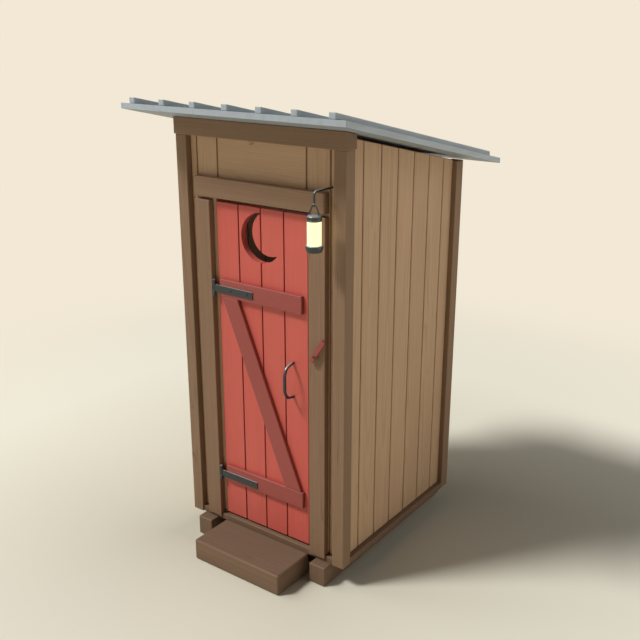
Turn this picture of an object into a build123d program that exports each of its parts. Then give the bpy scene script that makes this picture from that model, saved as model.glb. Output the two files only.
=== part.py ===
from build123d import *
import math
import os

# A one-seat wooden outhouse with a lean-to roof, standing on two skids. Sizes are in millimetres.
# Everything is drawn with x = 0 in the middle, y = 0 at the front faces of the corner posts (the back
# is on +y) and z = 0 on the ground. At the end all pieces move together, so that the origin lies on
# the ground in the middle of the whole outline.

# Overall sizes
house_width = 1080  # over the corner posts
house_depth = 1144  # over the corner posts
roof_height = 2407  # underside of the roof, straight above the front faces of the posts
roof_pitch = 12.6  # degrees, falling to the back

# Skids, platform and step
skid_width = 100
skid_height = 114
skid_spacing = 810  # between the middles of the two skids
skid_overhang = 52  # beyond the posts, at the front and the back
platform_thickness = 36
platform_setback = 8  # its front and back edges behind the faces of the posts
step_width = 597
step_depth = 268
step_height = 122
step_offset = 8.5  # its middle to the right of the doorway's middle
step_edge_radius = 5

# Frame and walls
post_size = 72
wall_thickness = 25
front_wall_setback = 35  # outer face of the front and back walls behind the faces of the posts
side_wall_setback = 27  # outer face of the side walls behind the faces of the posts
beam_depth = 87  # measured at the front faces of the posts
beam_front_proud = 8  # beyond the front faces of the posts
beam_back_proud = 6  # beyond the back faces of the front posts
beam_side_proud = 6.5  # beyond the side faces of the posts
vent_gap = 19  # between the tops of the walls and the roof
back_post_gap = 10  # between the back posts and the roof at their back faces

# Roof
roof_thickness = 28
roof_side_overhang = 150  # beyond the posts
roof_front_overhang = 222
roof_back_overhang = 154
rib_count = 7
rib_width = 39
rib_height = 31
rib_side_inset = 58.5  # from the roof's side edge to the outer face of the outer ribs
rib_back_inset = 14
rib_front_inset = 5
rib_end_radius = 8  # on the upright corners of each rib's front end
rafter_width = 45
rafter_depth = 75
rafter_spacing = 300
ledger_depth = 90
front_ledger_thickness = 45
back_ledger_thickness = 40

# Doorway and its trim
doorway_width = 608
doorway_height = 1855  # above the floor
reveal = 16  # wall that shows between the doorway's edge and the jamb
jamb_width = 100
jamb_thickness = 37.4
jamb_lap = 18  # how far the jamb's front lip reaches down over the platform's edge
header_height = 102
header_thickness = 43
header_lift = 8  # underside of the header above the doorway
header_shadow_gap = 16  # between the jambs and the header

# Door leaf, ledges and brace
leaf_thickness = 38
leaf_proud = 8  # face of the leaf in front of the wall's face
leaf_side_gap = 8.5
leaf_bottom_gap = 13
leaf_top_gap = 15
ledge_height = 96
ledge_thickness = 22
ledge_inset = 24  # ends of the ledges from the leaf's edges
upper_ledge_drop = 409  # its top edge below the leaf's top edge
lower_ledge_rise = 221  # its bottom edge above the leaf's bottom edge
brace_width = 100
brace_inset = 65.5  # ends of its middle line from the ends of the ledges

# Moon cut through the leaf: one disc less another
moon_radius = 130
moon_drop = 156  # its middle below the leaf's top edge
moon_bite_radius = 115
moon_bite_right = 60
moon_bite_up = 29

# Strap hinges
strap_length = 256
strap_height = 40
strap_thickness = 5
strap_drops = {"upper": 6, "lower": 10}  # middle of each strap below the middle of its ledge
hinge_height = 88
knuckle_radius = 7.5
knuckle_clearance = 0.5
strap_knuckle_height = 34
strap_gap = 3  # between the knuckles and the end of the strap
hinge_plate_thickness = 2.5
hinge_plate_depth = 22
pin_radius = 3.5
pin_clearance = 0.05
pin_head_radius = 5.5
pin_head_height = 3

# Door handle
handle_radius = 8
handle_inset = 95.5  # from the leaf's free edge
handle_bottom = 856  # lower foot above the leaf's bottom edge
handle_length = 190  # between the middles of the feet
handle_reach = 75  # middle of the grip in front of the leaf's face
handle_leg_reach = 57  # from the leaf's face to the end of each leg
handle_leg_slope = 12  # how far each leg leans in towards the grip
handle_grip_inset = 52  # from the height of each foot to the grip's straight middle
handle_bend_radius = 35

# Turn-button latch on the right jamb
latch_length = 145
latch_width = 24
latch_thickness = 12
latch_tilt = 32  # degrees from upright, its long end leaning away from the door
latch_short_end = 38  # from the pin to the lower end
latch_pin_height = 1146  # above the floor
latch_clearance = 0.3
latch_collar_length = 12  # between the jamb and the bar
latch_collar_radius = 9
latch_corner_radius = 3
latch_head_radius = 7
latch_head_height = 4

# Lantern and its bracket
bracket_radius = 6
bracket_height = 1990  # middle of the rod above the floor
bracket_reach = 140  # from the wall's face to the middle of the drop
bracket_drop = 60  # from the middle of the rod to the eye's middle
bracket_bend_radius = 16
bracket_side_gap = 8  # between the rod and the end of the header
eye_radius = 8
eye_thickness = 8
bail_radius = 3
bail_clearance = 0.3
bail_height = 48  # from the eye's middle down to the cap
bail_top_half_width = 8
bail_foot_half_width = 22.5
bail_foot_height = 12
bail_bend_radius = 5
cap_radius = 36.5
cap_height = 27
cap_shoulder_radius = 9
globe_radius = 34.5
globe_height = 114
globe_wall = 3
base_radius = 42.5
base_foot_radius = 35
base_height = 33
base_taper_height = 18
base_rim_radius = 4

# Levels and faces that several pieces share
slope = math.tan(math.radians(roof_pitch))
floor_top = skid_height + platform_thickness
beam_bottom = roof_height - beam_depth
half_width = house_width / 2
post_inner_x = half_width - post_size
side_wall_outer_x = half_width - side_wall_setback
side_wall_inner_x = side_wall_outer_x - wall_thickness
back_post_y = house_depth - post_size
front_wall_y = front_wall_setback
front_wall_inner_y = front_wall_y + wall_thickness
back_wall_y = house_depth - front_wall_setback
back_wall_inner_y = back_wall_y - wall_thickness
doorway_top = floor_top + doorway_height
doorway_half = doorway_width / 2
jamb_inner_x = doorway_half + reveal
trim_half_width = jamb_inner_x + jamb_width
jamb_front_y = front_wall_y - jamb_thickness
header_bottom = doorway_top + header_lift
leaf_half = doorway_half - leaf_side_gap
leaf_bottom = floor_top + leaf_bottom_gap
leaf_top = doorway_top - leaf_top_gap
leaf_front_y = front_wall_y - leaf_proud
ledge_front_y = leaf_front_y - ledge_thickness
ledge_half = leaf_half - ledge_inset
ledge_bottoms = {
    "upper": leaf_top - upper_ledge_drop - ledge_height,
    "lower": leaf_bottom + lower_ledge_rise,
}
pivot_x = -(jamb_inner_x - hinge_plate_thickness - knuckle_clearance - knuckle_radius)
pivot_y = ledge_front_y - strap_thickness / 2
latch_x = (jamb_inner_x + trim_half_width) / 2
latch_z = floor_top + latch_pin_height
lantern_x = trim_half_width + bracket_side_gap + bracket_radius
lantern_y = front_wall_y - bracket_reach
bracket_z = floor_top + bracket_height
eye_z = bracket_z - bracket_drop
cap_top = eye_z - bail_height
globe_top = cap_top - cap_height
base_top = globe_top - globe_height


def roof_underside(y):
    """Height of the roof's underside at a distance behind the posts' front faces."""
    return roof_height - slope * y


def block(x_from, x_to, y_from, y_to, z_from, z_to):
    """A box between two x, two y and two z."""
    middle = Pos((x_from + x_to) / 2, (y_from + y_to) / 2, (z_from + z_to) / 2)
    return middle * Box(x_to - x_from, y_to - y_from, z_to - z_from)


def side_prism(x_from, x_to, outline):
    """A prism along x with an outline of (y, z) points."""
    face = Plane.YZ.offset(x_from) * Polygon(*outline, align=None)
    return extrude(face, amount=x_to - x_from, dir=(1, 0, 0))


def under_roof(x_from, x_to, y_from, y_to, z_from, drop):
    """A prism along x from a level bottom up to a line that runs under the roof by a vertical drop."""
    top_from = roof_underside(y_from) - drop
    top_to = roof_underside(y_to) - drop
    return side_prism(x_from, x_to, [(y_from, z_from), (y_to, z_from), (y_to, top_to), (y_from, top_from)])


def along_roof(x_from, x_to, y_from, y_to, bottom_lift, thickness):
    """A sloping slab or bar, its underside lifted from the roof's underside by a vertical amount."""
    low_from = roof_underside(y_from) + bottom_lift
    low_to = roof_underside(y_to) + bottom_lift
    lower_edge = [(y_from, low_from), (y_to, low_to)]
    outline = lower_edge + [(y, z + thickness) for y, z in reversed(lower_edge)]
    return side_prism(x_from, x_to, outline)


def upright(radius, x, y, z_from, z_to):
    """A vertical cylinder."""
    return Pos(x, y, (z_from + z_to) / 2) * Cylinder(radius, z_to - z_from)


def bent_rod(radius, points, bend_radius):
    """A round rod along straight runs joined by arcs."""
    path = FilletPolyline(*points, radius=bend_radius)
    section = Plane(origin=path @ 0, z_dir=path % 0) * Circle(radius)
    return sweep(section, path=path)


def build_skid(side):
    """A runner timber; side is -1 for the left one and 1 for the right one."""
    middle = side * skid_spacing / 2
    low, high = middle - skid_width / 2, middle + skid_width / 2
    return block(low, high, -skid_overhang, house_depth + skid_overhang, 0, skid_height)


def build_post(side, at_back):
    """A corner post, standing beside the platform's notch."""
    low, high = sorted((side * post_inner_x, side * half_width))
    if at_back:
        top = roof_underside(house_depth) - back_post_gap
        return block(low, high, back_post_y, house_depth, skid_height, top)
    return block(low, high, 0, post_size, skid_height, beam_bottom)


def build_platform(posts):
    """The floor slab on the skids, notched round the posts."""
    back_edge = house_depth - platform_setback
    slab = block(-half_width, half_width, platform_setback, back_edge, skid_height, floor_top)
    return slab - posts


def build_step():
    """A low block in front of the platform, with eased edges."""
    left = step_offset - step_width / 2
    front = platform_setback - step_depth
    body = block(left, left + step_width, front, platform_setback, 0, step_height)
    eased = [e for e in body.edges() if e.center().Y < platform_setback - 1 and e.center().Z > 1]
    return fillet(eased, step_edge_radius)


def build_top_beam():
    """The beam on the front posts, its top cut to the roof's slope."""
    end_x = half_width + beam_side_proud
    back_y = post_size + beam_back_proud
    return under_roof(-end_x, end_x, -beam_front_proud, back_y, beam_bottom, 0)


def build_side_wall(side):
    """A wall between the posts of one side, cut out under the beam and open above by the vent gap."""
    low, high = sorted((side * side_wall_inner_x, side * side_wall_outer_x))
    wall = under_roof(low, high, post_size, back_post_y, floor_top, vent_gap)
    return wall - build_top_beam()


def build_front_wall():
    """The front wall in three pieces: beside the doorway on each side, and over it."""
    y_range = (front_wall_y, front_wall_inner_y)
    return {
        "front_wall_left": block(-post_inner_x, -doorway_half, *y_range, floor_top, beam_bottom),
        "front_wall_right": block(doorway_half, post_inner_x, *y_range, floor_top, beam_bottom),
        "front_wall_over_door": block(-doorway_half, doorway_half, *y_range, doorway_top, beam_bottom),
    }


def build_back_wall():
    """The wall between the back posts, with a level top under the roof."""
    top = roof_underside(back_wall_y) - vent_gap
    return block(-post_inner_x, post_inner_x, back_wall_inner_y, back_wall_y, floor_top, top)


def build_jamb(side):
    """A trim board beside the doorway, with a lip that laps the platform's edge."""
    low, high = sorted((side * jamb_inner_x, side * trim_half_width))
    top = header_bottom - header_shadow_gap
    board = block(low, high, jamb_front_y, front_wall_y, floor_top, top)
    lip = block(low, high, jamb_front_y, platform_setback, floor_top - jamb_lap, floor_top)
    return board + lip


def build_header_trim():
    """The trim board over the doorway."""
    front = front_wall_y - header_thickness
    top = header_bottom + header_height
    return block(-trim_half_width, trim_half_width, front, front_wall_y, header_bottom, top)


def build_rafter(middle_x):
    """A rafter from the beam to the back wall, right under the roof."""
    low, high = middle_x - rafter_width / 2, middle_x + rafter_width / 2
    front_y = post_size + beam_back_proud
    return along_roof(low, high, front_y, back_wall_inner_y, -rafter_depth, rafter_depth)


def build_ledger(y_from, y_to):
    """A rail across the inside of a wall that carries the rafters' ends."""
    outline = [
        (y_from, roof_underside(y_to) - rafter_depth - ledger_depth),
        (y_to, roof_underside(y_to) - rafter_depth - ledger_depth),
        (y_to, roof_underside(y_to) - rafter_depth),
        (y_from, roof_underside(y_from) - rafter_depth),
    ]
    return side_prism(-post_inner_x, post_inner_x, outline)


def build_roof_panel():
    """The roof slab with plumb edges."""
    edge_x = half_width + roof_side_overhang
    back_y = house_depth + roof_back_overhang
    return along_roof(-edge_x, edge_x, -roof_front_overhang, back_y, 0, roof_thickness)


def build_roof_ribs():
    """The straight ribs on the roof, evenly spaced, their front ends rounded."""
    first = -(half_width + roof_side_overhang - rib_side_inset - rib_width / 2)
    spacing = -2 * first / (rib_count - 1)
    front_y = rib_front_inset - roof_front_overhang
    back_y = house_depth + roof_back_overhang - rib_back_inset
    ribs = []
    for index in range(rib_count):
        low = first + index * spacing - rib_width / 2
        bar = along_roof(low, low + rib_width, front_y, back_y, roof_thickness, rib_height)
        front_corners = bar.edges().filter_by(Axis.Z).group_by(Axis.Y)[0]
        ribs.append(fillet(front_corners, rib_end_radius))
    return Compound(ribs)


def build_door_leaf():
    """The door's slab with the moon cut through it."""
    back_y = leaf_front_y + leaf_thickness
    slab = block(-leaf_half, leaf_half, leaf_front_y, back_y, leaf_bottom, leaf_top)
    turned = Rot(90, 0, 0)
    middle_y = (leaf_front_y + back_y) / 2
    depth = 2 * leaf_thickness
    moon_z = leaf_top - moon_drop
    disc = Pos(0, middle_y, moon_z) * turned * Cylinder(moon_radius, depth)
    bite = Pos(moon_bite_right, middle_y, moon_z + moon_bite_up) * turned * Cylinder(moon_bite_radius, depth)
    return slab - (disc - bite)


def build_ledge(level):
    """A board across the door's face."""
    bottom = ledge_bottoms[level]
    return block(-ledge_half, ledge_half, ledge_front_y, leaf_front_y, bottom, bottom + ledge_height)


def build_brace():
    """The slanting board between the ledges, from the upper left to the lower right."""
    top_z = ledge_bottoms["upper"]
    bottom_z = ledge_bottoms["lower"] + ledge_height
    end_x = ledge_half - brace_inset
    slant = math.atan2(2 * end_x, top_z - bottom_z)
    half_cut = brace_width / math.cos(slant) / 2
    outline = [
        (-end_x - half_cut, top_z),
        (-end_x + half_cut, top_z),
        (end_x + half_cut, bottom_z),
        (end_x - half_cut, bottom_z),
    ]
    front = Plane(origin=(0, ledge_front_y, 0), x_dir=(1, 0, 0), z_dir=(0, -1, 0))
    return extrude(front * Polygon(*outline, align=None), amount=ledge_thickness, dir=(0, 1, 0))


def hinge_middle(level):
    """Height of a hinge's middle."""
    return ledge_bottoms[level] + ledge_height / 2 - strap_drops[level]


def build_hinge_strap(level):
    """The strap on a ledge, with the middle knuckle that turns on the pin."""
    middle = hinge_middle(level)
    end_x = pivot_x + knuckle_radius + strap_gap
    z_range = (middle - strap_height / 2, middle + strap_height / 2)
    knuckle_range = (middle - strap_knuckle_height / 2, middle + strap_knuckle_height / 2)
    strap = block(end_x, end_x + strap_length, ledge_front_y - strap_thickness, ledge_front_y, *z_range)
    neck = block(pivot_x, end_x, ledge_front_y - strap_thickness, ledge_front_y, *knuckle_range)
    knuckle = upright(knuckle_radius, pivot_x, pivot_y, *knuckle_range)
    bore = upright(pin_radius + pin_clearance, pivot_x, pivot_y, *z_range)
    return strap + neck + knuckle - bore


def build_hinge_leaf(level):
    """The plate on the jamb's inner face, with a knuckle above and one below the strap's."""
    middle = hinge_middle(level)
    bottom, top = middle - hinge_height / 2, middle + hinge_height / 2
    plate_x = -jamb_inner_x + hinge_plate_thickness
    plate = block(-jamb_inner_x, plate_x, jamb_front_y, jamb_front_y + hinge_plate_depth, bottom, top)
    inner = strap_knuckle_height / 2 + knuckle_clearance
    leaf = plate
    for z_from, z_to in ((bottom, middle - inner), (middle + inner, top)):
        leaf += upright(knuckle_radius, pivot_x, pivot_y, z_from, z_to)
        leaf += block(plate_x, pivot_x, jamb_front_y, pivot_y + knuckle_radius, z_from, z_to)
    return leaf - upright(pin_radius + pin_clearance, pivot_x, pivot_y, bottom, top)


def build_hinge_pin(level):
    """The pin through the knuckles, hanging by its head."""
    middle = hinge_middle(level)
    top = middle + hinge_height / 2
    shank = upright(pin_radius, pivot_x, pivot_y, middle - hinge_height / 2, top)
    return shank + upright(pin_head_radius, pivot_x, pivot_y, top, top + pin_head_height)


def build_handle():
    """The round bar of the door's pull handle, its feet cut flush with the leaf's face."""
    x = leaf_half - handle_inset
    low = leaf_bottom + handle_bottom
    high = low + handle_length
    grip_y = leaf_front_y - handle_reach
    # The legs run a little past the leaf's face along their own slope before they are cut.
    past = handle_radius
    lean = handle_leg_slope * past / handle_leg_reach
    leg_y = leaf_front_y - handle_leg_reach
    points = [
        (x, leaf_front_y + past, high + lean),
        (x, leg_y, high - handle_leg_slope),
        (x, grip_y, high - handle_grip_inset),
        (x, grip_y, low + handle_grip_inset),
        (x, leg_y, low + handle_leg_slope),
        (x, leaf_front_y + past, low - lean),
    ]
    rod = bent_rod(handle_radius, points, handle_bend_radius)
    x_range = (x - 2 * handle_radius, x + 2 * handle_radius)
    z_range = (low - handle_length, high + handle_length)
    return rod - block(*x_range, leaf_front_y, leaf_front_y + 4 * past, *z_range)


def build_latch_bar():
    """The wooden turn-button, hung on its pin near the lower end."""
    back_y = jamb_front_y - latch_collar_length - latch_clearance
    middle_up = latch_length / 2 - latch_short_end
    bar = Pos(0, 0, middle_up) * Box(latch_width, latch_thickness, latch_length)
    bar = fillet(bar.edges().filter_by(Axis.Y), latch_corner_radius)
    bar -= Rot(90, 0, 0) * Cylinder(pin_radius + pin_clearance, 2 * latch_thickness)
    return Pos(latch_x, back_y - latch_thickness / 2, latch_z) * Rot(0, latch_tilt, 0) * bar


def build_latch_pin():
    """The latch's bolt: a collar on the jamb, a shank through the bar and a round head in front of it."""
    shank_length = latch_collar_length + 2 * latch_clearance + latch_thickness
    head_middle = -shank_length - latch_head_height / 2
    parts = [
        (latch_collar_radius, latch_collar_length, -latch_collar_length / 2),
        (pin_radius, shank_length, -shank_length / 2),
        (latch_head_radius, latch_head_height, head_middle),
    ]
    rounds = [Pos(0, y, 0) * Rot(90, 0, 0) * Cylinder(r, length) for r, length, y in parts]
    return Pos(latch_x, jamb_front_y, latch_z) * (rounds[0] + rounds[1] + rounds[2])


def eye_hole_radius():
    """Radius of the hole that the bail's top turns in."""
    return bail_radius + bail_clearance


def build_lantern_bracket():
    """The rod that comes straight out of the wall, turns down and ends in an eye."""
    points = [
        (lantern_x, front_wall_y, bracket_z),
        (lantern_x, lantern_y, bracket_z),
        (lantern_x, lantern_y, eye_z),
    ]
    rod = bent_rod(bracket_radius, points, bracket_bend_radius)
    sideways = Pos(lantern_x, lantern_y, eye_z) * Rot(0, 90, 0)
    eye = sideways * Cylinder(eye_radius, eye_thickness)
    hole = sideways * Cylinder(eye_hole_radius(), 4 * bracket_radius)
    return rod + eye - hole


def build_lantern_bail():
    """The wire bail: a short level top through the eye, and two legs down to the cap."""
    corner_z = cap_top + bail_foot_height
    outline = [
        (-bail_foot_half_width, cap_top),
        (-bail_foot_half_width, corner_z),
        (-bail_top_half_width, eye_z),
        (bail_top_half_width, eye_z),
        (bail_foot_half_width, corner_z),
        (bail_foot_half_width, cap_top),
    ]
    points = [(lantern_x + across, lantern_y, z) for across, z in outline]
    return bent_rod(bail_radius, points, bail_bend_radius)


def build_lantern_cap():
    """The round cap with a domed shoulder."""
    cap = upright(cap_radius, lantern_x, lantern_y, globe_top, cap_top)
    return fillet(cap.edges().sort_by(Axis.Z)[-1], cap_shoulder_radius)


def build_lantern_globe():
    """The glass cylinder, open at both ends."""
    outside = upright(globe_radius, lantern_x, lantern_y, base_top, globe_top)
    return outside - upright(globe_radius - globe_wall, lantern_x, lantern_y, base_top, globe_top)


def build_lantern_base():
    """The round base, drawn in towards its foot."""
    bottom = base_top - base_height
    shoulder = bottom + base_taper_height
    foot_middle = (bottom + shoulder) / 2
    foot = Pos(lantern_x, lantern_y, foot_middle) * Cone(base_foot_radius, base_radius, base_taper_height)
    rim = upright(base_radius, lantern_x, lantern_y, shoulder, base_top)
    rim = fillet(rim.edges().sort_by(Axis.Z)[-1], base_rim_radius)
    return foot + rim


def build_all():
    """Every piece by its name."""
    pieces = {}
    for name, side in (("left", -1), ("right", 1)):
        pieces[f"skid_{name}"] = build_skid(side)
        pieces[f"post_front_{name}"] = build_post(side, False)
        pieces[f"post_back_{name}"] = build_post(side, True)
        pieces[f"side_wall_{name}"] = build_side_wall(side)
        pieces[f"jamb_{name}"] = build_jamb(side)
    pieces["floor_platform"] = build_platform([pieces[name] for name in pieces if name.startswith("post")])
    pieces["step"] = build_step()
    pieces["top_beam"] = build_top_beam()
    pieces.update(build_front_wall())
    pieces["back_wall"] = build_back_wall()
    pieces["header_trim"] = build_header_trim()
    for name, position in (("left", -1), ("middle", 0), ("right", 1)):
        pieces[f"rafter_{name}"] = build_rafter(position * rafter_spacing)
    pieces["front_ledger"] = build_ledger(front_wall_inner_y, front_wall_inner_y + front_ledger_thickness)
    pieces["back_ledger"] = build_ledger(back_wall_inner_y - back_ledger_thickness, back_wall_inner_y)
    pieces["roof_panel"] = build_roof_panel()
    pieces["roof_ribs"] = build_roof_ribs()
    pieces["door_leaf"] = build_door_leaf()
    pieces["door_brace"] = build_brace()
    for level in ("upper", "lower"):
        pieces[f"door_ledge_{level}"] = build_ledge(level)
        pieces[f"hinge_strap_{level}"] = build_hinge_strap(level)
        pieces[f"hinge_leaf_{level}"] = build_hinge_leaf(level)
        pieces[f"hinge_pin_{level}"] = build_hinge_pin(level)
    pieces["door_handle"] = build_handle()
    pieces["latch_bar"] = build_latch_bar()
    pieces["latch_pin"] = build_latch_pin()
    pieces["lantern_bracket"] = build_lantern_bracket()
    pieces["lantern_bail"] = build_lantern_bail()
    pieces["lantern_cap"] = build_lantern_cap()
    pieces["lantern_globe"] = build_lantern_globe()
    pieces["lantern_base"] = build_lantern_base()
    return pieces


# The outline runs from the step's front edge to the roof's back edge.
outline_front_y = platform_setback - step_depth
outline_back_y = house_depth + roof_back_overhang
outline_middle_y = (outline_front_y + outline_back_y) / 2

os.makedirs("parts", exist_ok=True)
for name, piece in build_all().items():
    export_step(Pos(0, -outline_middle_y, 0) * piece, f"parts/{name}.step")
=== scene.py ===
# %% [markdown]
# # A wooden outhouse, modelled and finished
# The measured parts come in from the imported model, in metres and each in its place. This lesson gives
# them their looks: every timber is sawn, eased and stained, the door is boarded and painted, the roof
# gets its sheet and ribs, and the iron and the lantern are forged and spun. Each step first says what
# the real thing is, then how it can be made in Blender, then why this way was taken.

# %% Load the measured parts
import functools
import itertools
import math

import bmesh
import bpy
from mathutils import Matrix, Vector


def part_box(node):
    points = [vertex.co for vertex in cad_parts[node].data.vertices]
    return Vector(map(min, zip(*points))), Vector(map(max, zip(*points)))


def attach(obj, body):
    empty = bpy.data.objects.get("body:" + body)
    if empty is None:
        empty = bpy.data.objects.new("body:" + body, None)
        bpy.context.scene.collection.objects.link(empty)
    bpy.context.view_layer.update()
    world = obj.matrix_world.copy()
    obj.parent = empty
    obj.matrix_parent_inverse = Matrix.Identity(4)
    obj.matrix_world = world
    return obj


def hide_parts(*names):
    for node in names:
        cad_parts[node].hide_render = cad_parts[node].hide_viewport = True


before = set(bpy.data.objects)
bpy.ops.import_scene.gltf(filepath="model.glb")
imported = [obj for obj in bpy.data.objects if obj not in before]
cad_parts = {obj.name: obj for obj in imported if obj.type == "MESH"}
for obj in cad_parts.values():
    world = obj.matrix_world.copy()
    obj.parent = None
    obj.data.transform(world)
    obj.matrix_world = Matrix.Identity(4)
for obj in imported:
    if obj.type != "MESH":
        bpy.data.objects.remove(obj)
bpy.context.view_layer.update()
MM = 0.001

# %% [markdown]
# ## The camera
# The view is a plain three-quarter one from the front right, a little above the roof's front edge, with
# a 50 mm lens on a 36 mm wide sensor. It is placed first, because every later choice of detail depends
# on how large a millimetre shows: here one dot of the picture is about six millimetres of wood.

# %% Stand the camera
scene = bpy.context.scene
CAMERA_AT = (2.8224, -3.8451, 2.8987)
CAMERA_TURN, CAMERA_DIP = 36.18, 18.92
bpy.ops.object.camera_add(
    location=CAMERA_AT, rotation=(math.radians(90 - CAMERA_DIP), 0, math.radians(CAMERA_TURN))
)
camera = bpy.context.object
camera.name = "camera"
camera.data.lens, camera.data.sensor_width = 50, 36
scene.camera = camera
scene.view_settings.view_transform = "Standard"
print("camera at", [round(v, 2) for v in camera.location])

# %% [markdown]
# ## Colours and nodes
# A paint chip is picked by its sRGB hex code, as on a colour card, but shaders work in linear light, so
# one function turns the one into the other. A second adds any node with its settings and links. A
# setting in lower case is one of the node's own, any other names a socket, and a link comes from a
# socket or from a node, which then gives its first output.

# %% Two helpers for finishes
def chip(hex_code):
    """The linear colour of an sRGB hex code."""
    shares = [int(hex_code[i : i + 2], 16) / 255 for i in (1, 3, 5)]
    return (*[s / 12.92 if s <= 0.04045 else ((s + 0.055) / 1.055) ** 2.4 for s in shares], 1)


def join_up(node, links):
    """Links a node's sockets to what feeds them."""
    for key, source in dict(links).items():
        node.id_data.links.new(getattr(source, "outputs", [source])[0], node.inputs[key])
    return node


def add_node(tree, kind, settings=(), links=()):
    """Adds a node with its settings and links; its kind may end with its operation."""
    kind, _, operation = kind.partition(" ")
    node = tree.nodes.new(f"ShaderNode{kind}")
    if operation:
        node.operation = operation
    for key, value in dict(settings).items():
        if isinstance(key, str) and key.islower():
            setattr(node, key, value)
        else:
            node.inputs[key].default_value = value
    return join_up(node, links)


def new_finish(name, **settings):
    """An empty material: its surface shader with some settings, and the tool that adds nodes to it."""
    finish = bpy.data.materials.new(name)
    finish.use_nodes = True
    finish.node_tree.nodes.clear()
    add = functools.partial(add_node, finish.node_tree)
    shader = add("BsdfPrincipled", {key.replace("_", " ").title(): value for key, value in settings.items()})
    add("OutputMaterial", links={"Surface": shader})
    return finish, shader, add


print("a middle grey of #808080 is", round(chip("#808080")[0], 3), "in linear light")

# %% [markdown]
# ## The studio
# The floor is a wide sheet of matt, warm white card. It is real card that takes the soft shadow. Near the
# building its colour is also painted darker, a painted shade round the building, which pales out to the card's
# own colour with distance from the building's footprint. Further out it turns, for the camera alone, into the
# even colour of the backdrop, so that no horizon shows. The world has that colour too for the camera and for
# reflections, and is dim for everything else, so that the lamps do the lighting.

# %% Lay the floor and hang the backdrop
BACKDROP = chip("#F2E8D5")
# The first card colour is a painted shade near the building's footprint; the card pales out to the second, its
# own colour.
CARD_IN_PAINTED_SHADE, CARD_FAR = chip("#C5C0AD"), chip("#F2EDDB")
FOOT_MIDDLE, FOOT_HALF = (-0.12, -0.05, 0), (0.47, 0.6, 0)  # the building's footprint
PAINTED_SHADE_TO = 2.0  # metres from the footprint
FADE_FROM, FADE_TO = 1.8, 4.4
PAINTED_SHADE_CURVE = 0.6  # under 1, so that it pales fastest near the building
AMBIENT = 0.02
FLOOR_BELOW = 0.5 * MM
bpy.ops.mesh.primitive_plane_add(size=600, location=(0, 0, -FLOOR_BELOW))
floor = bpy.context.object
floor.name = "studio_floor"
bpy.ops.object.transform_apply(location=True)

card, shader, add = new_finish("matt_studio_card", roughness=0.95)
away = add("TexCoord").outputs["Object"]
for operation, other in (
    ("SUBTRACT", FOOT_MIDDLE),
    ("ABSOLUTE", (0, 0, 0)),
    ("SUBTRACT", FOOT_HALF),
    ("MAXIMUM", (0, 0, 0)),
    ("LENGTH", (0, 0, 0)),
):
    away = add("VectorMath", {"operation": operation, 1: other}, {0: away})
# Two masks: how far a point is out of the painted shade near the building, and how far the card has faded into
# the backdrop.
shade_lift, fade = [
    add(
        "MapRange",
        {"interpolation_type": kind, "From Min": start, "From Max": end},
        {"Value": away.outputs["Value"]},
    )
    for kind, start, end in (("LINEAR", 0, PAINTED_SHADE_TO), ("SMOOTHSTEP", FADE_FROM, FADE_TO))
]
shade_lift = add("Math POWER", {1: PAINTED_SHADE_CURVE}, {0: shade_lift})
tone = add("Mix", {"data_type": "RGBA", 6: CARD_IN_PAINTED_SHADE, 7: CARD_FAR}, {0: shade_lift}).outputs[2]
join_up(shader, {"Base Color": tone})
seen = add("Math MULTIPLY", links={0: fade, 1: add("LightPath").outputs["Is Camera Ray"]})
glow = add("Emission", {"Color": BACKDROP, "Strength": 1})
both = add("MixShader", links={0: seen, 1: shader, 2: glow})
join_up(card.node_tree.nodes["Material Output"], {"Surface": both})
floor.data.materials.append(card)

world = bpy.data.worlds.new("studio")
scene.world = world
world.use_nodes = True
world.node_tree.nodes.clear()
add = functools.partial(add_node, world.node_tree)
ray = add("LightPath").outputs
seen = ray["Is Camera Ray"]
for other in ("Is Glossy Ray", "Is Transmission Ray"):
    seen = add("Math MAXIMUM", links={0: seen, 1: ray[other]})
dim = add("Background", {"Color": chip("#FFFAF2"), "Strength": AMBIENT})
wall = add("Background", {"Color": BACKDROP, "Strength": 1})
add("OutputWorld", links={"Surface": add("MixShader", links={0: seen, 1: dim, 2: wall})})
print("floor fades into the backdrop from", FADE_FROM, "to", FADE_TO, "m")

# %% [markdown]
# ## The lamps
# One key stands high to the front left. Its light crosses the front at a slant, so that the roof's
# overhang shades the beam and the building's shadow falls to the back right. Its disc is wide, as behind
# thin cloud, so a shadow is crisp near what casts it and soft further off. Large soft fills stand in for
# a bright sky and open the shaded sides; on the right they hang high, so that the overhang also shades
# the wall below it. A very weak fill inside stands in for the daylight that leaks through the vent gaps.

# %% Hang the lamps
KEY_TRAVEL = Vector((0.94, 1, 0))  # in plan, from the front left to the back right
KEY_HEIGHT = 52  # degrees above the horizon
KEY_SHARE = 0.82  # of full light, on a face square to it
KEY_DISC = 13  # degrees across
KEY_AWAY = 6  # metres; its light would be the same from any distance
FILLS = {  # where it hangs, its power in watts, and its side in metres
    "front_fill": ((-1.5, -6, 3.2), 20, 3),
    "left_fill": ((-4.5, -1.5, 5.0), 98, 3),
    "right_fill": ((4.5, 1.0, 6.0), 30, 3),
    "low_right_fill": ((5.5, 0.6, 0.9), 17, 1.5),
    "back_fill": ((4.5, 5, 3.0), 48, 3),
    "inside_fill": ((0, 0, 2.1), 0.32, 0.5),
}


def hang_lamp(name, kind, at, towards, power):
    """A lamp at a place, turned to shine towards a point."""
    aim = (Vector(towards) - Vector(at)).to_track_quat("-Z", "Y").to_euler()
    bpy.ops.object.light_add(type=kind, location=at, rotation=aim)
    lamp = bpy.context.object
    lamp.name = name
    lamp.data.energy = power
    return lamp


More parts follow.
